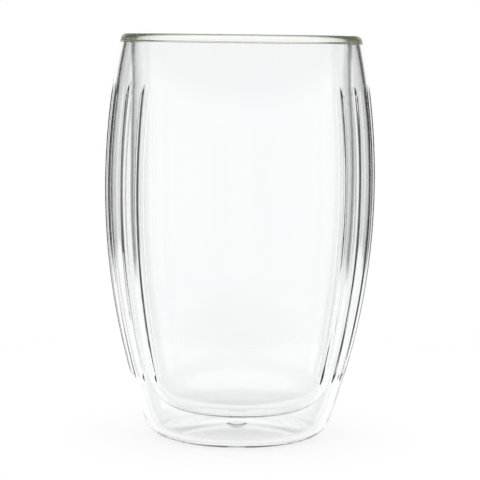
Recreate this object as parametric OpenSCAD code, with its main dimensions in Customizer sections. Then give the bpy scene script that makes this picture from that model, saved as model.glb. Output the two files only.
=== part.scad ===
// Double walled drinking glass: a blown barrel outside, a slimmer cup inside,
// fused together at the rim, with still air sealed between them.
// Millimetres, +Z up, origin at the centre of the standing face.

/* [Barrel] */
// Height from the standing face to the top of the rim
cup_h = 125; // [118:0.5:134]
// Outer diameter at the widest place
belly_d = 84; // [80:0.5:90]
// Height of the widest place
belly_z = 78.5; // [70:0.5:88]
// Radius of the long arc that the side follows
side_arc_r = 214; // [205:1:260]
// Radius of the rounded edge between side and base
corner_r = 7; // [5:0.5:9]
// Thickness of the outer glass
outer_wall = 1.8; // [1.4:0.05:2.2]

/* [Base] */
// Width of the flat ring that the cup stands on
ring_w = 2.4; // [1.5:0.1:4]
// Height of the shallow hollow under the base, at its middle
punt_h = 1.8; // [1.4:0.1:2.4]
// Air gap between the base and the inner glass
base_gap = 2.8; // [2:0.1:6]

/* [Inner glass] */
// Thickness of the inner glass
inner_wall = 1.35; // [1:0.05:1.8]
// How far the inner glass swells past its neck, or past its bowl if that is the wider
inner_swell = 1.02; // [0.6:0.02:1.6]
// Air gap between the walls at the shoulder of the bowl
bowl_gap = 3.6; // [2.8:0.05:4.5]
// Height of the shoulder of the bowl
bowl_z = 30; // [27:0.5:36]
// Radius of the rounded edge of the bowl
bowl_r = 12; // [9:0.5:14]
// Radius of the gently rounded floor of the bowl
floor_arc_r = 75; // [60:1:120]
// Length of the inner glass's straight neck below the rim
neck_h = 13.3; // [10:0.1:18]

/* [Rim] */
// Height of the solid glass in the rim
rim_h = 2.7; // [2.4:0.1:4]
// Radius of the rim's two melted edges
rim_edge_r = 2; // [1.8:0.05:2.2]
// Width of the flat top between the two melted edges
rim_flat = 0.2; // [0.1:0.05:0.5]

/* [Flutes] */
// Flutes in each of the two groups, left and right
flute_count = 4; // [2:1:7]
// Angle from the cup's side to the middle of a group, towards the front, in degrees
flute_turn = 27; // [0:1:45]
// Angle from one flute to the next, in degrees
flute_step = 11.25; // [9:0.25:11.25]
// Width of a flute at its middle
flute_w = 2.8; // [2:0.1:3.4]
// Depth of a flute at its middle
flute_depth = 0.42; // [0.2:0.01:0.6]
// Radius of the wheel that rounds a flute out at both ends
wheel_r = 18; // [14:0.5:30]
// Distance from the top of the rim down to the points of the flutes
flute_drop = 15; // [11:0.5:27]
// Height where the flutes run out at the bottom
flute_bottom = 19; // [15:0.5:30]

/* [Vent seal] */
// Diameter of the vent hole in the middle of the base
vent_d = 2.4; // [1.6:0.1:3.5]
// Diameter of the glass drop that closes the vent
seal_d = 6.4; // [5:0.1:9]
// Height of that drop below the base
seal_h = 1; // [0.6:0.1:1.2]

/* [Hidden] */
$fn = 96;
// How far a cutter runs on past the face it cuts
overrun = 1;
// How far the wheel turns on past the tip of a flute, in degrees
wheel_turn = 30;
// Clearance round the stem of the vent seal
seal_gap = 0.05;

// Barrel: one arc turned about the axis, tangent to the rounded edge of the base
belly_r = belly_d / 2;
side_c = [belly_r - side_arc_r, belly_z];
corner_c = [
    side_c.x + sqrt(pow(side_arc_r - corner_r, 2) - pow(belly_z - corner_r, 2)),
    corner_r
];
corner_turn = asin((belly_z - corner_r) / (side_arc_r - corner_r));

// Base: a ring to stand on round a shallow spherical hollow
ring_in = corner_c.x - ring_w;
punt_arc_r = (pow(ring_in, 2) + pow(punt_h, 2)) / (2 * punt_h);
punt_c = [0, punt_h - punt_arc_r];

// Rim: both melted edges are tangent to the faces below them
rim_z = cup_h - rim_h;
edge_z = cup_h - rim_edge_r;
edge_turn = asin((edge_z - belly_z) / (side_arc_r - rim_edge_r));
edge_out = [
    side_c.x + sqrt(pow(side_arc_r - rim_edge_r, 2) - pow(edge_z - belly_z, 2)),
    edge_z
];
edge_in = [edge_out.x - rim_flat, edge_z];
mouth_r = edge_in.x - rim_edge_r;

// Inner glass, outside face: neck, upper arc, lower arc, edge and floor of the bowl
function side_x(z) = side_c.x + sqrt(pow(side_arc_r, 2) - pow(z - belly_z, 2));
neck_r = mouth_r + inner_wall;
neck_z = rim_z - neck_h;
shoulder_r = side_x(bowl_z) - outer_wall - bowl_gap;
inner_r = max(neck_r, shoulder_r) + inner_swell;
inner_floor = punt_h + outer_wall + base_gap;
upper_arc_r = arc_through(inner_r - neck_r, neck_z - belly_z);
lower_arc_r = arc_through(inner_r - shoulder_r, belly_z - bowl_z);
upper_c = [inner_r - upper_arc_r, belly_z];
lower_c = [inner_r - lower_arc_r, belly_z];
floor_c = [0, inner_floor + floor_arc_r];
bowl_c = meet(lower_c, lower_arc_r - bowl_r, floor_c, floor_arc_r - bowl_r);

// Flutes: each is a round-bottomed groove of even depth that follows the barrel's arc,
// and a wheel rounds it out to a tip at both ends
tool_r = 1 / (8 * flute_depth / pow(flute_w, 2) - 1 / belly_r);
path_r = side_arc_r - flute_depth + tool_r;
wheel_out = side_arc_r - flute_depth + wheel_r;
tip_turn = acos(
    (pow(side_arc_r, 2) + pow(wheel_out, 2) - pow(wheel_r, 2)) / (2 * side_arc_r * wheel_out)
);
flute_top = cup_h - flute_drop;
turn_top = asin((flute_top - belly_z) / side_arc_r) - tip_turn;
turn_bottom = asin((flute_bottom - belly_z) / side_arc_r) + tip_turn;

// Seal: a drop of glass with the curve of a shallow ball
seal_r = seal_d / 2;
drop_r = (pow(seal_r, 2) + pow(seal_h, 2)) / (2 * seal_h);

// Radius of the arc that drops by rise over a height run from its widest place
function arc_through(rise, run) = (pow(rise, 2) + pow(run, 2)) / (2 * rise);

// Lower meeting point of a circle of radius a round p and one of radius b round q
function meet(p, a, q, b) =
    let (
        apart = norm(q - p),
        way = (q - p) / apart,
        along = (a * a - b * b + apart * apart) / (2 * apart),
        aside = sqrt(a * a - along * along)
    )
    p + along * way + aside * [way.y, -way.x];

// The part of a disc between two heights, on the outer side of the axis
module disc_band(centre, r, z0, z1) {
    intersection() {
        translate(centre) circle(r = r, $fn = 360);
        translate([0, z0]) square([belly_d, z1 - z0]);
    }
}

// Half section of the barrel, inset from its outer face, up to height z1
module barrel_2d(inset, z1) {
    r = corner_r - inset;
    split_z = corner_c.y - r * sin(corner_turn);
    disc_band(side_c, side_arc_r - inset, split_z, z1);
    disc_band(corner_c, r, inset, split_z);
    translate([0, inset]) square([corner_c.x, split_z - inset]);
}

// Half section of the inner glass with its inside, inset from its outer face
module inner_2d(inset, z1) {
    r = bowl_r - inset;
    side_way = (bowl_c - lower_c) / norm(bowl_c - lower_c);
    floor_way = (bowl_c - floor_c) / norm(bowl_c - floor_c);
    split_z = bowl_c.y + r * side_way.y;
    split_x = bowl_c.x + r * floor_way.x;
    translate([0, belly_z]) square([neck_r - inset, z1 - belly_z]);
    disc_band(upper_c, upper_arc_r - inset, belly_z, rim_z);
    disc_band(lower_c, lower_arc_r - inset, split_z, belly_z);
    intersection() {
        translate(bowl_c) circle(r = r, $fn = 96);
        translate([split_x, 0]) square([belly_r, split_z]);
    }
    intersection() {
        translate(floor_c) circle(r = floor_arc_r - inset, $fn = 360);
        square([split_x, split_z]);
    }
}

// Round bar of the flute's section, bent about the centre c from one angle to another
module bent_bar(c, r, from, to) {
    translate([c.x, 0, c.y])
        rotate([90, 0, 0])
            rotate_extrude(angle = to - from, start = from, $fn = 360)
                translate([r, 0]) circle(r = tool_r, $fn = 96);
}

// The even part of one flute
module flute_bar() {
    bent_bar(side_c, path_r, turn_bottom, turn_top);
}

// The two rounded ends of one flute
module flute_ends() {
    top_c = side_c + wheel_out * [cos(turn_top), sin(turn_top)];
    bottom_c = side_c + wheel_out * [cos(turn_bottom), sin(turn_bottom)];
    bent_bar(top_c, wheel_r - tool_r, turn_top + 180 - wheel_turn, turn_top + 180);
    bent_bar(bottom_c, wheel_r - tool_r, turn_bottom + 180, turn_bottom + 180 + wheel_turn);
}

// Repeats a cutter for one group of flutes, spread evenly about the angle a
module flute_group(a) {
    for (i = [0 : flute_count - 1])
        rotate([0, 0, a + (i - (flute_count - 1) / 2) * flute_step])
            children();
}

module outer_glass() {
    color("#dfe8e6", 0.35)
        difference() {
            rotate_extrude()
                difference() {
                    barrel_2d(0, rim_z);
                    translate(punt_c) circle(r = punt_arc_r, $fn = 360);
                    difference() {
                        barrel_2d(outer_wall, rim_z + overrun);
                        translate(punt_c) circle(r = punt_arc_r + outer_wall, $fn = 360);
                    }
                }
            translate([0, 0, -overrun])
                cylinder(d = vent_d, h = punt_h + outer_wall + 2 * overrun);
            flute_group(-flute_turn) flute_ends();
            flute_group(180 + flute_turn) flute_ends();
            flute_group(-flute_turn) flute_bar();
            flute_group(180 + flute_turn) flute_bar();
        }
}

module inner_glass() {
    color("#e4eceb", 0.35)
        rotate_extrude()
            difference() {
                inner_2d(0, rim_z);
                inner_2d(inner_wall, rim_z + overrun);
            }
}

// The side of the rim between two heights, from x0 out to the barrel's face
module rim_band(x0, z0, z1) {
    difference() {
        disc_band(side_c, side_arc_r, z0, z1);
        translate([0, z0 - overrun]) square([x0, z1 - z0 + 2 * overrun]);
    }
}

module fused_rim() {
    split_z = edge_z + rim_edge_r * sin(edge_turn);
    color("#b9c8a0", 0.5)
        rotate_extrude()
            union() {
                rim_band(mouth_r, rim_z, edge_z);
                rim_band(edge_in.x, rim_z, split_z);
                intersection() {
                    translate(edge_out) circle(r = rim_edge_r, $fn = 96);
                    translate([edge_in.x, split_z])
                        square([rim_flat + rim_edge_r, cup_h - split_z]);
                }
                intersection() {
                    translate(edge_in) circle(r = rim_edge_r, $fn = 96);
                    translate([mouth_r, edge_z]) square([rim_edge_r + rim_flat, rim_edge_r]);
                }
                translate([edge_in.x, rim_z]) square([rim_flat, rim_h]);
            }
}

module vent_seal() {
    color("#d4dedd", 0.5)
        rotate_extrude()
            union() {
                intersection() {
                    translate([0, punt_h - seal_h + drop_r]) circle(r = drop_r, $fn = 96);
                    translate(punt_c) circle(r = punt_arc_r, $fn = 360);
                    square([belly_r, punt_h]);
                }
                translate([0, punt_h - seal_h / 2])
                    square([vent_d / 2 - seal_gap, outer_wall + seal_h / 2]);
            }
}

outer_glass();
inner_glass();
fused_rim();
vent_seal();
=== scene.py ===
"""Double walled drinking glass, dressed in blown glass and set on a light table."""
import math

import bpy
import numpy as np
from mathutils import Matrix


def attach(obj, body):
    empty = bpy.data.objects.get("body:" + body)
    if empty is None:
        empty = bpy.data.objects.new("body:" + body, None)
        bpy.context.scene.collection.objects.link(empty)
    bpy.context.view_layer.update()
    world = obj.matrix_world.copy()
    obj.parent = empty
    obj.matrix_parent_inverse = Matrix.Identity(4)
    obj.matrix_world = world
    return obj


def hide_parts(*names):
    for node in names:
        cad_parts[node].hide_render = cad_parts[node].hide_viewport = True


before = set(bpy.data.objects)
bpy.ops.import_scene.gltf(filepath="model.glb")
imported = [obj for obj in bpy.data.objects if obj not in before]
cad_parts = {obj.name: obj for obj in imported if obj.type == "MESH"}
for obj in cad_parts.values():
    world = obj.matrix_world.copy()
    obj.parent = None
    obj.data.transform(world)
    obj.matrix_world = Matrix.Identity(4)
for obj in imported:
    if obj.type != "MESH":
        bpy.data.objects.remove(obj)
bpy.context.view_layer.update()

MM = 0.001

# Sizes of the cup in millimetres, the same as the solids have
CUP_H = 125.0
BELLY_R = 42.0
BELLY_Z = 78.5
SIDE_R = 214.0
CORNER_R = 7.0
OUTER_WALL = 1.8
RING_W = 2.4
PUNT_H = 1.8
BASE_GAP = 2.8
INNER_WALL = 1.35
INNER_SWELL = 1.02
BOWL_GAP = 3.6
BOWL_Z = 30.0
BOWL_R = 12.0
FLOOR_R = 75.0
NECK_H = 13.3
RIM_H = 2.7
RIM_EDGE_R = 2.0
RIM_FLAT = 0.2
FLUTE_COUNT = 4
FLUTE_TURN = 27.0
FLUTE_STEP = 11.25
FLUTE_W = 2.8
FLUTE_DEPTH = 0.42
WHEEL_R = 18.0
# Fire polishing rounds a flute's edges: this share of its width is left flat along the middle
FLUTE_FLAT_SHARE = 0.54
# The wheel bites less from one flute to the next, towards the cup's sides
FLUTE_FADE_SHARE = 0.2
FLUTE_TOP = 110.0
FLUTE_BOTTOM = 19.0
VENT_R = 1.2
SEAL_R = 3.2
SEAL_H = 1.0

# What the glassblower's hand left: how far the walls stand off the axis, to the right, and the
# height over which they come to do so below the rim, or above the corner of the base
INNER_LEAN = 0.7
CAVITY_LEAN = 0.2
LEAN_FALL = 40.0
LEAN_FOOT = 6.0
LEAN_RISE = 20.0
# Height of the small arch that the melted rim leaves over the air gap
RIM_ARCH = 0.55

# How finely the glass is turned: columns round the axis
FLUTE_COLUMNS = 22
FLUTE_SPREAD_SHARE = 1.06
LAND_COLUMNS = 6
LAND_STEP = 1.0
ROUND_COLUMNS = 360
SEAL_COLUMNS = 48
# How finely the profiles are drawn: points or steps of each stretch
ABOVE_FLUTES_POINTS = 7
FLUTE_TIP_ROWS = 14
FLUTE_ROWS = 40
BELOW_FLUTES_POINTS = 9
CORNER_STEPS = 14
CORNER_IN_STEPS = 12
PUNT_POINTS = 9
CAVITY_FLOOR_POINTS = 10
CAVITY_WALL_POINTS = 46
NECK_POINTS = 7
UPPER_POINTS = 16
LOWER_POINTS = 32
BOWL_EDGE_STEPS = 26
BOWL_FLOOR_STEPS = 12
RIM_SIDE_POINTS = 5
RIM_OVER_STEPS = 12
RIM_BACK_STEPS = 14
RIM_DOWN_POINTS = 3
RIM_ARCH_POINTS = 13
DROP_POINTS = 13
# The close rows at a flute's tip reach this share of its rounded end
TIP_ROWS_SHARE = 1.2
# Plain skin beyond a flute's tip, the crease inside the standing ring, and how far short of it
# the floor of the cavity turns up
FLUTE_MARGIN = 1.0
RING_CREASE = 0.5
CAVITY_TURN_IN = 1.0
# The drop's round underside ends at this share of its radius, and its edge is melted on beyond
DROP_EDGE_SHARE = 0.985


# ---- Profiles of the glass, as (radius, height) pairs in millimetres ----

def circle_x(centre, radius, z):
    """Outer side of a circle at a height."""
    return centre[0] + math.sqrt(max(radius ** 2 - (z - centre[1]) ** 2, 0.0))


def sweep(centre, radius, start, end, steps):
    """Points along an arc, between two angles in degrees from the radial direction."""
    turns = np.radians(np.linspace(start, end, steps + 1))
    return [(centre[0] + radius * math.cos(t), centre[1] + radius * math.sin(t)) for t in turns]


def side_face(centre, radius, heights):
    """Points of an arc at given heights."""
    return [(circle_x(centre, radius, z), z) for z in heights]


def through(rise, run):
    """Radius of the arc that drops by rise over a height run from its widest place."""
    return (rise ** 2 + run ** 2) / (2 * rise)


SIDE_C = (BELLY_R - SIDE_R, BELLY_Z)
CORNER_C = (
    SIDE_C[0] + math.sqrt((SIDE_R - CORNER_R) ** 2 - (BELLY_Z - CORNER_R) ** 2),
    CORNER_R,
)
CORNER_TURN = math.degrees(math.asin((BELLY_Z - CORNER_R) / (SIDE_R - CORNER_R)))
RIM_Z = CUP_H - RIM_H
RING_IN = CORNER_C[0] - RING_W
PUNT_R = (RING_IN ** 2 + PUNT_H ** 2) / (2 * PUNT_H)
PUNT_C = (0.0, PUNT_H - PUNT_R)
EDGE_Z = CUP_H - RIM_EDGE_R
EDGE_TURN = math.degrees(math.asin((EDGE_Z - BELLY_Z) / (SIDE_R - RIM_EDGE_R)))
EDGE_OUT = (
    SIDE_C[0] + math.sqrt((SIDE_R - RIM_EDGE_R) ** 2 - (EDGE_Z - BELLY_Z) ** 2),
    EDGE_Z,
)
EDGE_IN = (EDGE_OUT[0] - RIM_FLAT, EDGE_Z)
MOUTH_R = EDGE_IN[0] - RIM_EDGE_R
NECK_R = MOUTH_R + INNER_WALL
NECK_Z = RIM_Z - NECK_H
# How long the rounded end of a flute is
FLUTE_RUN = math.sqrt(2 * WHEEL_R * FLUTE_DEPTH)


def punt_z(r, lift=0.0):
    """Height of the hollow base at a radius, or of the face that lies lift above it."""
    return PUNT_C[1] + math.sqrt((PUNT_R + lift) ** 2 - r ** 2)


def eased(points, first, last, passes):
    """Rounds small creases away between two places of a profile."""
    made = np.array(points)
    for _ in range(passes):
        made[first:last] = (
            made[first - 1:last - 1] + 2 * made[first:last] + made[first + 1:last + 1]
        ) / 4
    return [tuple(p) for p in made]


def barrel_profile():
    """The outer glass: outer face, standing ring, hollow base, vent, and the face to the air gap.
    Returns the points, and for each the kind of the band that starts there."""
    above = list(np.linspace(RIM_Z, FLUTE_TOP + FLUTE_MARGIN, ABOVE_FLUTES_POINTS))
    tip = list(np.linspace(0, FLUTE_RUN * TIP_ROWS_SHARE, FLUTE_TIP_ROWS + 1))
    even = list(np.linspace(FLUTE_TOP - tip[-1], FLUTE_BOTTOM + tip[-1], FLUTE_ROWS + 1))
    fluted = [FLUTE_TOP - t for t in tip[:-1]] + even + [FLUTE_BOTTOM + t for t in tip[-2::-1]]
    split_z = CORNER_C[1] - CORNER_R * math.sin(math.radians(CORNER_TURN))
    below = list(np.linspace(FLUTE_BOTTOM - FLUTE_MARGIN, split_z, BELOW_FLUTES_POINTS))
    skin = side_face(SIDE_C, SIDE_R, above + fluted + below)
    skin += sweep(CORNER_C, CORNER_R, -CORNER_TURN, -90, CORNER_STEPS)[1:]
    under = [(RING_IN + RING_CREASE, 0.0), (RING_IN, 0.0)]
    hollow = [(r, punt_z(r)) for r in np.linspace(RING_IN, SEAL_R, PUNT_POINTS)[1:]]
    covered = [(VENT_R, punt_z(VENT_R)), (VENT_R, punt_z(VENT_R, OUTER_WALL))]
    radii = np.linspace(VENT_R, RING_IN - CAVITY_TURN_IN, CAVITY_FLOOR_POINTS)[1:]
    floor = [(r, punt_z(r, OUTER_WALL)) for r in radii]
    inner_r = CORNER_R - OUTER_WALL
    floor += sweep(CORNER_C, inner_r, -90, -CORNER_TURN, CORNER_IN_STEPS)
    split_in = CORNER_C[1] - inner_r * math.sin(math.radians(CORNER_TURN))
    heights = np.linspace(split_in, RIM_Z, CAVITY_WALL_POINTS)[1:]
    wall = side_face(SIDE_C, SIDE_R - OUTER_WALL, heights)
    # Eased from the floor to a little way up the wall
    cavity = eased(floor + wall, 1, len(floor) + 6, 3)
    points = skin + under + hollow + covered + cavity
    kinds = ["skin"] * (len(skin) - 1) + ["base"] * (len(under) + len(hollow))
    kinds += ["joint"] * len(covered) + ["cavity"] * (len(cavity)) + ["joint"]
    return points, kinds[:len(points)]


def bowl_face(inset):
    """One face of the inner glass from the rim down to the axis, inset from its outside."""
    shoulder = circle_x(SIDE_C, SIDE_R, BOWL_Z) - OUTER_WALL - BOWL_GAP
    widest = max(NECK_R, shoulder) + INNER_SWELL
    upper_r = through(widest - NECK_R, NECK_Z - BELLY_Z)
    lower_r = through(widest - shoulder, BELLY_Z - BOWL_Z)
    upper_c, lower_c = (widest - upper_r, BELLY_Z), (widest - lower_r, BELLY_Z)
    floor_c = (0.0, PUNT_H + OUTER_WALL + BASE_GAP + FLOOR_R)
    reach_side, reach_floor = lower_r - BOWL_R, FLOOR_R - BOWL_R
    apart = math.dist(lower_c, floor_c)
    way = ((floor_c[0] - lower_c[0]) / apart, (floor_c[1] - lower_c[1]) / apart)
    along = (reach_side ** 2 - reach_floor ** 2 + apart ** 2) / (2 * apart)
    aside = math.sqrt(reach_side ** 2 - along ** 2)
    bowl_c = (
        lower_c[0] + along * way[0] + aside * way[1],
        lower_c[1] + along * way[1] - aside * way[0],
    )
    turn_side = math.degrees(math.atan2(bowl_c[1] - lower_c[1], bowl_c[0] - lower_c[0]))
    turn_floor = math.degrees(math.atan2(bowl_c[1] - floor_c[1], bowl_c[0] - floor_c[0]))
    split_z = bowl_c[1] + (BOWL_R - inset) * math.sin(math.radians(turn_side))
    neck = [(NECK_R - inset, z) for z in np.linspace(RIM_Z, NECK_Z, NECK_POINTS)]
    high = np.linspace(NECK_Z, BELLY_Z, UPPER_POINTS)[1:]
    low = np.linspace(BELLY_Z, split_z, LOWER_POINTS)[1:]
    upper = side_face(upper_c, upper_r - inset, high)
    lower = side_face(lower_c, lower_r - inset, low)
    edge = sweep(bowl_c, BOWL_R - inset, turn_side, turn_floor, BOWL_EDGE_STEPS)[1:]
    floor = sweep(floor_c, FLOOR_R - inset, turn_floor, -90, BOWL_FLOOR_STEPS)[1:]
    # Eased where the straight neck runs into the swelling side
    face = eased(neck + upper + lower, 4, 12, 4) + edge + floor
    face[-1] = (0.0, face[-1][1])
    return face


def inner_profile():
    """The inner glass: its face to the air gap, and its face to the drink."""
    outside = bowl_face(0.0)
    inside = bowl_face(INNER_WALL)[::-1]
    points = outside + inside
    kinds = ["cavity"] * (len(outside) - 1) + ["axis"] + ["drink"] * (len(inside) - 1) + ["joint"]
    return points, kinds


def rim_profile():
    """The rim: a bead with two melted edges, and a small arch over the air gap."""
    split_z = EDGE_Z + RIM_EDGE_R * math.sin(math.radians(EDGE_TURN))
    side = side_face(SIDE_C, SIDE_R, np.linspace(RIM_Z, split_z, RIM_SIDE_POINTS))
    over = sweep(EDGE_OUT, RIM_EDGE_R, EDGE_TURN, 90, RIM_OVER_STEPS)[1:]
    back = sweep(EDGE_IN, RIM_EDGE_R, 90, 180, RIM_BACK_STEPS)
    down = [(MOUTH_R, z) for z in np.linspace(EDGE_Z, RIM_Z, RIM_DOWN_POINTS)[1:]]
    gap_out = circle_x(SIDE_C, SIDE_R - OUTER_WALL, RIM_Z)
    middle, half = (gap_out + NECK_R) / 2, (gap_out - NECK_R) / 2
    turns = np.radians(np.linspace(180, 0, RIM_ARCH_POINTS))
    arch = [(middle + half * math.cos(t), RIM_Z + RIM_ARCH * math.sin(t)) for t in turns]
    arch[0], arch[-1] = (NECK_R, RIM_Z), (gap_out, RIM_Z)
    points = side + over + back + down + arch
    kinds = ["bead"] * (len(side + over + back + down) - 1) + ["joint"]
    kinds += ["cavity"] * (len(arch) - 1) + ["joint"]
    return points, kinds


def seal_profile():
    """The drop that closes the vent: its round underside, and its stem in the hole."""
    drop_r = (SEAL_R ** 2 + SEAL_H ** 2) / (2 * SEAL_H)
    low = PUNT_H - SEAL_H
    radii = np.linspace(0, SEAL_R * DROP_EDGE_SHARE, DROP_POINTS)
    drop = [(r, low + drop_r - math.sqrt(drop_r ** 2 - r ** 2)) for r in radii]
    top = punt_z(VENT_R, OUTER_WALL)
    points = drop + [(SEAL_R, punt_z(SEAL_R)), (VENT_R, punt_z(VENT_R)), (VENT_R, top)]
    points += [(VENT_R / 2, top), (0.0, top)]
    kinds = ["bead"] * len(drop) + ["joint", "joint", "cavity", "cavity", "axis"]
    return points, kinds


# ---- Turning the profiles into glass ----

def even_columns(count):
    """Angles of evenly spaced columns, in degrees from +X."""
    return np.arange(count) * 360.0 / count


def flute_angles():
    """Angles of the flutes of one half of the barrel, in degrees from +X: those on the right."""
    last = (FLUTE_COUNT - 1) / 2
    return [-FLUTE_TURN + (i - last) * FLUTE_STEP for i in range(FLUTE_COUNT)]


def fluted_columns():
    """Angles of columns, close together across each flute and wide apart on the plain parts."""
    half_flute = math.degrees(FLUTE_W / 2 / BELLY_R) * FLUTE_SPREAD_SHARE
    right = flute_angles()
    left = [180 - a for a in right]
    centres = sorted(right + left)
    marks = []
    for centre, after in zip(centres, centres[1:] + [centres[0] + 360]):
        marks += list(np.linspace(centre - half_flute, centre + half_flute, FLUTE_COLUMNS + 1))
        land = after - centre - 2 * half_flute
        count = max(LAND_COLUMNS, round(land / LAND_STEP))
        marks += list(np.linspace(centre + half_flute, after - half_flute, count + 1)[1:-1])
    return np.array(marks)


def turned(name, profile, columns, lean=lambda z, kind: 0.0):
    """Turns a closed profile about the axis into one closed mesh with its faces outwards.
    lean gives how far a ring of the glass stands off the axis, to the right."""
    points, kinds = profile
    count = len(columns)
    cos, sin = np.cos(np.radians(columns)), np.sin(np.radians(columns))
    verts, rings = [], []
    for (r, z), kind in zip(points, kinds):
        shift = lean(z, kind)
        if r == 0.0:
            rings.append([len(verts)] * count)
            verts.append((shift * MM, 0.0, z * MM))
            continue
        rings.append(list(range(len(verts), len(verts) + count)))
        verts += [((r * c + shift) * MM, r * s * MM, z * MM) for c, s in zip(cos, sin)]
    faces, marks = [], []
    for i, kind in enumerate(kinds):
        if kind == "axis":
            continue
        upper, lower = rings[i], rings[(i + 1) % len(rings)]
        for j in range(count):
            k = (j + 1) % count
            corners = [upper[j], lower[j], lower[k], upper[k]]
            face = [c for n, c in enumerate(corners) if c != corners[n - 1]]
            faces.append(face)
            marks.append(kind)
    mesh = bpy.data.meshes.new(name)
    mesh.from_pydata(verts, [], faces)
    mesh.validate()
    outwards(mesh)
    joint = mesh.attributes.new("joint", "BOOLEAN", "FACE")
    joint.data.foreach_set("value", [mark == "joint" for mark in marks])
    skin = mesh.attributes.new("skin", "BOOLEAN", "FACE")
    skin.data.foreach_set("value", [mark == "skin" for mark in marks])
    mesh.polygons.foreach_set("use_smooth", [True] * len(faces))
    crisp_joints(mesh, marks)
    piece = bpy.data.objects.new(name, mesh)
    bpy.context.scene.collection.objects.link(piece)
    return piece


def volume(mesh):
    """Signed volume of a closed mesh: below zero where its faces point inwards."""
    mesh.calc_loop_triangles()
    co = np.zeros(len(mesh.vertices) * 3)
    mesh.vertices.foreach_get("co", co)
    tri = np.zeros(len(mesh.loop_triangles) * 3, dtype=int)
    mesh.loop_triangles.foreach_get("vertices", tri)
    a, b, c = co.reshape(-1, 3)[tri.reshape(-1, 3)].transpose(1, 0, 2)
    return float(np.einsum("ij,ij->i", a, np.cross(b, c)).sum() / 6)


def outwards(mesh):
    """Turns all faces round if the closed mesh is inside out."""
    if volume(mesh) < 0:
        mesh.flip_normals()
    mesh.update()


def crisp_joints(mesh, marks):
    """Keeps the shading of the glass apart from that of the melted joints it runs into."""
    kinds_at = {}
    for face, mark in zip(mesh.polygons, marks):
        for key in face.edge_keys:
            kinds_at.setdefault(key, set()).add(mark == "joint")
    sharp = mesh.attributes.new("sharp_edge", "BOOLEAN", "EDGE")
    flags = [len(kinds_at[tuple(sorted(edge.vertices))]) > 1 for edge in mesh.edges]
    sharp.data.foreach_set("value", flags)
    mesh.update()


# ---- Node trees ----

def node(tree, kind, inputs=None, **settings):
    """Adds a node with its own settings, and with values, sockets or nodes on its inputs."""
    made = tree.nodes.new(kind)
    for name, value in settings.items():
        setattr(made, name, value)
    for place, value in (inputs or {}).items():
        if isinstance(value, bpy.types.Node):
            value = value.outputs[0]
        if isinstance(value, bpy.types.NodeSocket):
            tree.links.new(value, made.inputs[place])
        else:
            made.inputs[place].default_value = value
    return made


def linear(hex_colour):
    """An sRGB hex colour as linear red, green, blue and alpha."""
    parts = [int(hex_colour[i:i + 2], 16) / 255 for i in (1, 3, 5)]
    lit = [c / 12.92 if c <= 0.04045 else ((c + 0.055) / 1.055) ** 2.4 for c in parts]
    return (*lit, 1.0)


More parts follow.
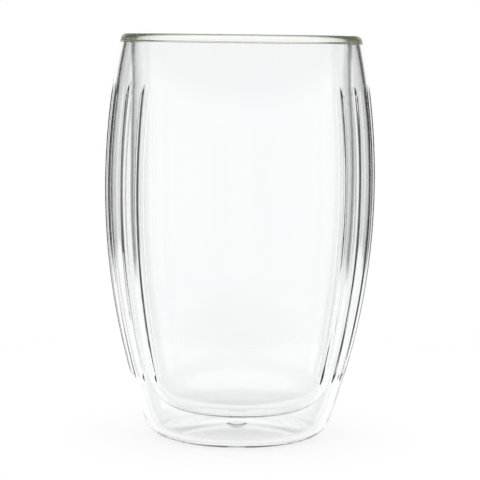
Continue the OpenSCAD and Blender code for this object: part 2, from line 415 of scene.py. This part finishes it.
def pressed_flutes_tree(glass, joint):
    """Presses the flutes into the skin of the barrel. Each is a groove with a flat middle and
    sloping flanks that a wheel rounds out to a tip at both ends."""
    tree = bpy.data.node_groups.new("pressed_flutes", "GeometryNodeTree")
    sockets = tree.interface
    sockets.new_socket("Geometry", in_out="INPUT", socket_type="NodeSocketGeometry")
    for name in ("First", "Step", "Last", "Width", "Flat Share", "Depth", "Fade Share", "Top",
                 "Bottom", "Run"):
        sockets.new_socket(name, in_out="INPUT", socket_type="NodeSocketFloat")
    sockets.new_socket("Geometry", in_out="OUTPUT", socket_type="NodeSocketGeometry")
    given = node(tree, "NodeGroupInput").outputs

    place = node(tree, "ShaderNodeSeparateXYZ", {
        0: node(tree, "GeometryNodeInputPosition")}).outputs
    # Angle from the cup's side, right or left, and the nearest flute of that side's group
    across = node(tree, "ShaderNodeMath", {0: place["X"]}, operation="ABSOLUTE")
    angle = node(tree, "ShaderNodeMath", {0: place["Y"], 1: across}, operation="ARCTAN2")
    past = node(tree, "ShaderNodeMath", {0: angle, 1: given["First"]}, operation="SUBTRACT")
    steps = node(tree, "ShaderNodeMath", {0: past, 1: given["Step"]}, operation="DIVIDE")
    whole = node(tree, "ShaderNodeMath", {0: steps}, operation="ROUND")
    nearest = node(tree, "ShaderNodeClamp", {"Value": whole, "Min": 0.0, "Max": given["Last"]})
    aside = node(tree, "ShaderNodeMath", {0: steps, 1: nearest}, operation="SUBTRACT")
    turn = node(tree, "ShaderNodeMath", {0: aside, 1: given["Step"]}, operation="MULTIPLY")
    flat = node(tree, "ShaderNodeCombineXYZ", {"X": place["X"], "Y": place["Y"]})
    radius = node(tree, "ShaderNodeVectorMath", {0: flat}, operation="LENGTH").outputs["Value"]
    distance = node(tree, "ShaderNodeMath", {0: turn, 1: radius}, operation="MULTIPLY")
    # Fullness at this height: one along the flute, falling to none over the run at both ends
    below = node(tree, "ShaderNodeMath", {0: given["Top"], 1: place["Z"]}, operation="SUBTRACT")
    above = node(tree, "ShaderNodeMath", {0: place["Z"], 1: given["Bottom"]}, operation="SUBTRACT")
    from_tip = node(tree, "ShaderNodeMath", {0: below, 1: above}, operation="MINIMUM")
    short = node(tree, "ShaderNodeMapRange", {
        "Value": from_tip, "From Min": 0.0, "From Max": given["Run"], "To Min": 1.0, "To Max": 0.0})
    squared = node(tree, "ShaderNodeMath", {0: short, 1: short}, operation="MULTIPLY")
    fullness = node(tree, "ShaderNodeMath", {0: 1.0, 1: squared}, operation="SUBTRACT",
                    use_clamp=True)
    narrowing = node(tree, "ShaderNodeMath", {0: fullness}, operation="SQRT")
    width = node(tree, "ShaderNodeMath", {0: given["Width"], 1: narrowing}, operation="MULTIPLY")
    share = node(tree, "ShaderNodeMath", {0: distance, 1: width}, operation="DIVIDE")
    inside = node(tree, "ShaderNodeMath", {0: share}, operation="ABSOLUTE")
    from_middle = node(tree, "ShaderNodeMath", {0: inside, 1: 2.0}, operation="MULTIPLY")
    hollow = node(tree, "ShaderNodeMapRange", {
        "Value": from_middle, "From Min": given["Flat Share"], "From Max": 1.0, "To Min": 1.0,
        "To Max": 0.0})
    deep = node(tree, "ShaderNodeMath", {0: hollow, 1: fullness}, operation="MULTIPLY")
    lost = node(tree, "ShaderNodeMath", {0: nearest, 1: given["Fade Share"]}, operation="MULTIPLY")
    bite = node(tree, "ShaderNodeMath", {0: 1.0, 1: lost}, operation="SUBTRACT")
    bitten = node(tree, "ShaderNodeMath", {0: deep, 1: bite}, operation="MULTIPLY")
    sunk = node(tree, "ShaderNodeMath", {0: bitten, 1: given["Depth"]}, operation="MULTIPLY")
    inward = node(tree, "ShaderNodeMath", {0: sunk, 1: radius}, operation="DIVIDE")
    back = node(tree, "ShaderNodeMath", {0: inward, 1: -1.0}, operation="MULTIPLY")
    offset = node(tree, "ShaderNodeVectorMath", {0: flat, "Scale": back}, operation="SCALE")
    skin = node(tree, "GeometryNodeInputNamedAttribute", {"Name": "skin"}, data_type="BOOLEAN")
    pressed = node(tree, "GeometryNodeSetPosition", {
        "Geometry": given["Geometry"], "Selection": skin.outputs["Attribute"], "Offset": offset})
    real = node(tree, "GeometryNodeRealizeInstances", {0: pressed})
    clear = node(tree, "GeometryNodeSetMaterial", {"Geometry": real, "Material": glass})
    melted = node(tree, "GeometryNodeInputNamedAttribute", {"Name": "joint"}, data_type="BOOLEAN")
    done = node(tree, "GeometryNodeSetMaterial", {
        "Geometry": clear, "Selection": melted.outputs["Attribute"], "Material": joint})
    node(tree, "NodeGroupOutput", {0: done})
    return tree


def press_flutes(piece, glass, joint):
    """Runs the flutes' tree on the barrel, and leaves a plain mesh."""
    sizes = {
        "First": math.radians(flute_angles()[0]), "Step": math.radians(FLUTE_STEP),
        "Last": FLUTE_COUNT - 1.0, "Width": FLUTE_W * MM, "Flat Share": FLUTE_FLAT_SHARE,
        "Depth": FLUTE_DEPTH * MM, "Fade Share": FLUTE_FADE_SHARE, "Top": FLUTE_TOP * MM,
        "Bottom": FLUTE_BOTTOM * MM, "Run": FLUTE_RUN * MM,
    }
    tree = pressed_flutes_tree(glass, joint)
    press = piece.modifiers.new("flutes", "NODES")
    press.node_group = tree
    for socket in tree.interface.items_tree:
        if socket.name in sizes:
            press[socket.identifier] = sizes[socket.name]
    view = bpy.context.evaluated_depsgraph_get()
    mesh = bpy.data.meshes.new_from_object(piece.evaluated_get(view))
    piece.modifiers.remove(press)
    old, piece.data = piece.data, mesh
    bpy.data.meshes.remove(old)
    mesh.name = piece.name


# ---- Materials ----

# How far from face-on the bead must be seen to show its colour, and how much it then shows
EDGE_TINT_FROM = 0.34
EDGE_TINT_FULL = 0.60
EDGE_TINT_MOST = 0.60
GLASS_IOR = 1.47
# Patches of tint in the melt: this many to a metre
TINT_PATCHES = 25.0


def blown_glass(name, tint, streak):
    """Borosilicate glass, blown and fire polished: no scratches or grain, and clear but for a
    faint tint that drifts along the wall."""
    material = bpy.data.materials.new(name)
    material.use_nodes = True
    tree = material.node_tree
    tree.nodes.clear()
    where = node(tree, "ShaderNodeTexCoord").outputs["Object"]
    patches = node(tree, "ShaderNodeTexNoise", {
        "Vector": where, "Scale": TINT_PATCHES, "Detail": 1.0})
    colour = node(tree, "ShaderNodeMix", {
        "Factor": patches.outputs["Fac"], 6: linear(tint), 7: linear(streak)}, data_type="RGBA")
    shader = node(tree, "ShaderNodeBsdfPrincipled", {
        "Base Color": colour.outputs[2], "Roughness": 0.0, "IOR": GLASS_IOR,
        "Transmission Weight": 1.0})
    node(tree, "ShaderNodeOutputMaterial", {"Surface": shader})
    return material


def edge_tinted_glass(name, tint, streak, edge_tint):
    """The same glass as a thick bead. Looked at along its length it shows its own grey-green
    colour, as the edge of a window pane does."""
    material = blown_glass(name, tint, streak)
    tree = material.node_tree
    out = next(n for n in tree.nodes if n.bl_idname == "ShaderNodeOutputMaterial")
    clear = out.inputs["Surface"].links[0].from_socket
    edge_on = node(tree, "ShaderNodeLayerWeight", {"Blend": 0.5}).outputs["Facing"]
    amount = node(tree, "ShaderNodeMapRange", {
        "Value": edge_on, "From Min": EDGE_TINT_FROM, "From Max": EDGE_TINT_FULL, "To Min": 0.0,
        "To Max": EDGE_TINT_MOST}, interpolation_type="SMOOTHSTEP")
    body = node(tree, "ShaderNodeBsdfTranslucent", {"Color": linear(edge_tint)})
    mixed = node(tree, "ShaderNodeMixShader", {0: amount, 1: clear, 2: body})
    tree.links.new(mixed.outputs[0], out.inputs["Surface"])
    return material


def melted_joint():
    """Where two pieces of the same glass are melted together there is no surface to see."""
    material = bpy.data.materials.new("melted_joint")
    material.use_nodes = True
    tree = material.node_tree
    tree.nodes.clear()
    node(tree, "ShaderNodeOutputMaterial", {"Surface": node(tree, "ShaderNodeBsdfTransparent")})
    return material


def dress(piece, glass, joint):
    """Gives a turned piece its glass, and its melted joints theirs."""
    piece.data.materials.append(glass)
    piece.data.materials.append(joint)
    marks = [0] * len(piece.data.polygons)
    piece.data.attributes["joint"].data.foreach_get("value", marks)
    piece.data.polygons.foreach_set("material_index", [int(m) for m in marks])


# ---- The cup ----

def inner_lean(z, kind):
    """The inner glass hangs from the rim and stands a little off the axis below it."""
    fall = min(max((RIM_Z - z) / LEAN_FALL, 0.0), 1.0)
    return INNER_LEAN * fall * fall * (3 - 2 * fall)


def barrel_lean(z, kind):
    """The wall of the barrel is a little thinner on its right."""
    if kind != "cavity":
        return 0.0
    fall = min(max((RIM_Z - z) / LEAN_FALL, 0.0), 1.0)
    fall *= min(max((z - LEAN_FOOT) / LEAN_RISE, 0.0), 1.0)
    return CAVITY_LEAN * fall * fall * (3 - 2 * fall)


wall_glass = blown_glass("clear_borosilicate_barrel", "#fdfefe", "#ffffff")
bowl_glass = blown_glass("clear_borosilicate_bowl", "#fdfefe", "#fefefe")
bead_glass = edge_tinted_glass("borosilicate_bead", "#fafbf6", "#fcfdf9", "#dde6cb")
drop_glass = blown_glass("borosilicate_drop", "#f3f7f3", "#f8faf8")
joint_clear = melted_joint()

barrel = turned("outer_glass_barrel", barrel_profile(), fluted_columns(), barrel_lean)
press_flutes(barrel, wall_glass, joint_clear)
bowl = turned("inner_glass_bowl", inner_profile(), even_columns(ROUND_COLUMNS), inner_lean)
rim = turned("fused_rim_bead", rim_profile(), even_columns(ROUND_COLUMNS))
seal = turned("vent_seal_drop", seal_profile(), even_columns(SEAL_COLUMNS))
dress(bowl, bowl_glass, joint_clear)
dress(rim, bead_glass, joint_clear)
dress(seal, drop_glass, joint_clear)

for piece, cad_node, finish in (
    (barrel, "outer_glass", "outer_glass"),
    (bowl, "inner_glass", "inner_glass"),
    (rim, "fused_rim", "rim_glass"),
    (seal, "vent_seal", "seal_glass"),
):
    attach(piece, "root")
    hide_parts(cad_node)


# ---- Table, light and camera ----

# The table top, in metres: between the two radii of TABLE_FADE it fades into the floor beyond
TABLE_R = 0.24
TABLE_CORNERS = 96
TABLE_FADE = (0.145, 0.205)
TABLE_DROP = 0.00005
# Its own light, where 1 is white, and the colour that takes the shadow
TABLE_GLOW = 0.82
TABLE_GLOW_IN_GLASS = 0.84
TABLE_COLOUR = "#818181"
# Brightness of the studio by the angle from straight behind the cup, in degrees: the white
# backdrop, a dark curtain on each side of it, and the white room
STUDIO = ((0, 1.0), (25, 1.0), (28, 0.02), (54, 0.02), (58, 1.0), (180, 1.0))
# The curtains and walls stand between these heights, in degrees above the horizon: white floor
# lies below them, and a white ceiling above. Over the backdrop's head the walls are grey
CURTAIN_FOOT = (-11.0, -9.0)
CURTAIN_HEAD = (38.0, 50.0)
BACKDROP_HEAD = (10.0, 16.0)
WALL_GREY = 0.3

# The camera, in metres and degrees, with its focal length and shift in pixels of the photograph
PICTURE_PX = 480
FOCAL_PX = 1931
SHIFT_PX = 0.9
SENSOR_W = 36.0
CAMERA_DISTANCE = 0.600
CAMERA_HEIGHT = 0.126
CAMERA_ROUND = -0.95
CAMERA_PITCH = 6.17
CAMERA_ROLL = -0.70

# A ray crosses up to eight faces of glass before it leaves the cup, and bounces between them
BOUNCES = 32
GLOSSY_BOUNCES = 16


def light_table():
    """A round table top of opal acrylic lit from below. Most of its white is its own, for the
    camera and through the glass, so that it runs into the backdrop and the base stays light;
    the rest takes the cup's soft shadow."""
    mesh = bpy.data.meshes.new("table")
    turns = np.linspace(0, math.tau, TABLE_CORNERS + 1)[:-1]
    corners = [(TABLE_R * math.cos(t), TABLE_R * math.sin(t), -TABLE_DROP) for t in turns]
    mesh.from_pydata(corners, [], [list(range(TABLE_CORNERS))])
    table = bpy.data.objects.new("table", mesh)
    bpy.context.scene.collection.objects.link(table)
    material = bpy.data.materials.new("opal_acrylic")
    material.use_nodes = True
    tree = material.node_tree
    tree.nodes.clear()
    path = node(tree, "ShaderNodeLightPath").outputs
    open_glow = node(tree, "ShaderNodeMath", {
        0: path["Is Camera Ray"], 1: TABLE_GLOW}, operation="MULTIPLY")
    by_glass = node(tree, "ShaderNodeMath", {
        0: path["Is Glossy Ray"], 1: path["Is Transmission Ray"]}, operation="ADD", use_clamp=True)
    glow = node(tree, "ShaderNodeMath", {
        0: by_glass, 1: TABLE_GLOW_IN_GLASS, 2: open_glow}, operation="MULTIPLY_ADD")
    lit = node(tree, "ShaderNodeBsdfDiffuse", {"Color": linear(TABLE_COLOUR)})
    own = node(tree, "ShaderNodeEmission", {"Strength": glow})
    both = node(tree, "ShaderNodeAddShader", {0: lit, 1: own})
    where = node(tree, "ShaderNodeTexCoord").outputs["Object"]
    far = node(tree, "ShaderNodeVectorMath", {0: where}, operation="LENGTH").outputs["Value"]
    fade = node(tree, "ShaderNodeMapRange", {
        "Value": far, "From Min": TABLE_FADE[0], "From Max": TABLE_FADE[1]},
        interpolation_type="SMOOTHSTEP")
    gone = node(tree, "ShaderNodeBsdfTransparent")
    top = node(tree, "ShaderNodeMixShader", {0: fade, 1: both, 2: gone})
    node(tree, "ShaderNodeOutputMaterial", {"Surface": top})
    mesh.materials.append(material)


def studio():
    """A bright-field set-up: a white backdrop with a dark curtain on each side of it, which draw
    the lines in the glass. The camera sees the same room as the glass does. Only the table and
    the tinted share of the rim, which are diffuse, are lit from white all round."""
    world = bpy.data.worlds.new("studio")
    bpy.context.scene.world = world
    world.use_nodes = True
    tree = world.node_tree
    tree.nodes.clear()
    way = node(tree, "ShaderNodeSeparateXYZ", {
        0: node(tree, "ShaderNodeTexCoord").outputs["Generated"]}).outputs
    turn = node(tree, "ShaderNodeMath", {0: way["X"], 1: way["Y"]}, operation="ARCTAN2")
    off = node(tree, "ShaderNodeMath", {0: turn}, operation="ABSOLUTE")
    share = node(tree, "ShaderNodeMath", {0: off, 1: math.pi}, operation="DIVIDE")
    panels = node(tree, "ShaderNodeValToRGB", {0: share})
    stops = panels.color_ramp.elements
    while len(stops) < len(STUDIO):
        stops.new(0.5)
    for stop, (angle, level) in zip(stops, STUDIO):
        stop.position = angle / 180
        stop.color = (level, level, level, 1.0)
    height = node(tree, "ShaderNodeMath", {0: way["Z"]}, operation="ARCSINE")
    over = node(tree, "ShaderNodeMapRange", {
        "Value": height, "From Min": math.radians(BACKDROP_HEAD[0]),
        "From Max": math.radians(BACKDROP_HEAD[1]), "To Min": 1.0, "To Max": WALL_GREY},
        interpolation_type="SMOOTHSTEP")
    walls = node(tree, "ShaderNodeVectorMath", {0: panels, "Scale": over}, operation="SCALE")
    floor = node(tree, "ShaderNodeMapRange", {
        "Value": height, "From Min": math.radians(CURTAIN_FOOT[0]),
        "From Max": math.radians(CURTAIN_FOOT[1]), "To Min": 1.0, "To Max": 0.0},
        interpolation_type="SMOOTHSTEP")
    ceiling = node(tree, "ShaderNodeMapRange", {
        "Value": height, "From Min": math.radians(CURTAIN_HEAD[0]),
        "From Max": math.radians(CURTAIN_HEAD[1])}, interpolation_type="SMOOTHSTEP")
    clear_of = node(tree, "ShaderNodeMath", {0: floor, 1: ceiling}, operation="ADD")
    path = node(tree, "ShaderNodeLightPath").outputs
    plain = node(tree, "ShaderNodeMath", {
        0: path["Is Diffuse Ray"], 1: clear_of}, operation="ADD", use_clamp=True)
    room = node(tree, "ShaderNodeMix", {
        "Factor": plain, 6: walls, 7: (1.0, 1.0, 1.0, 1.0)}, data_type="RGBA")
    sky = node(tree, "ShaderNodeBackground", {"Color": room.outputs[2], "Strength": 1.0})
    node(tree, "ShaderNodeOutputWorld", {0: sky})


def camera():
    """Stands where the photograph was taken: level with the rim and a little left of the cup's
    front, tilted down by a few degrees and held not quite upright."""
    eye = bpy.data.cameras.new("camera")
    eye.sensor_width = SENSOR_W
    eye.lens = FOCAL_PX / PICTURE_PX * SENSOR_W
    eye.shift_x = SHIFT_PX / PICTURE_PX
    eye.clip_start, eye.clip_end = 0.01, 10.0
    stand = bpy.data.objects.new("camera", eye)
    bpy.context.scene.collection.objects.link(stand)
    turn = Matrix.Rotation(math.radians(CAMERA_ROUND), 4, "Z")
    away = Matrix.Translation((0, -CAMERA_DISTANCE, CAMERA_HEIGHT))
    aim = Matrix.Rotation(math.pi / 2 - math.radians(CAMERA_PITCH), 4, "X")
    tilt = Matrix.Rotation(-math.radians(CAMERA_ROLL), 4, "Z")
    stand.matrix_world = turn @ away @ (aim @ tilt)
    bpy.context.scene.camera = stand


light_table()
studio()
camera()

scene = bpy.context.scene
scene.view_settings.view_transform = "Standard"
scene.cycles.max_bounces = BOUNCES
scene.cycles.transmission_bounces = BOUNCES
scene.cycles.glossy_bounces = GLOSSY_BOUNCES
scene.cycles.transparent_max_bounces = BOUNCES
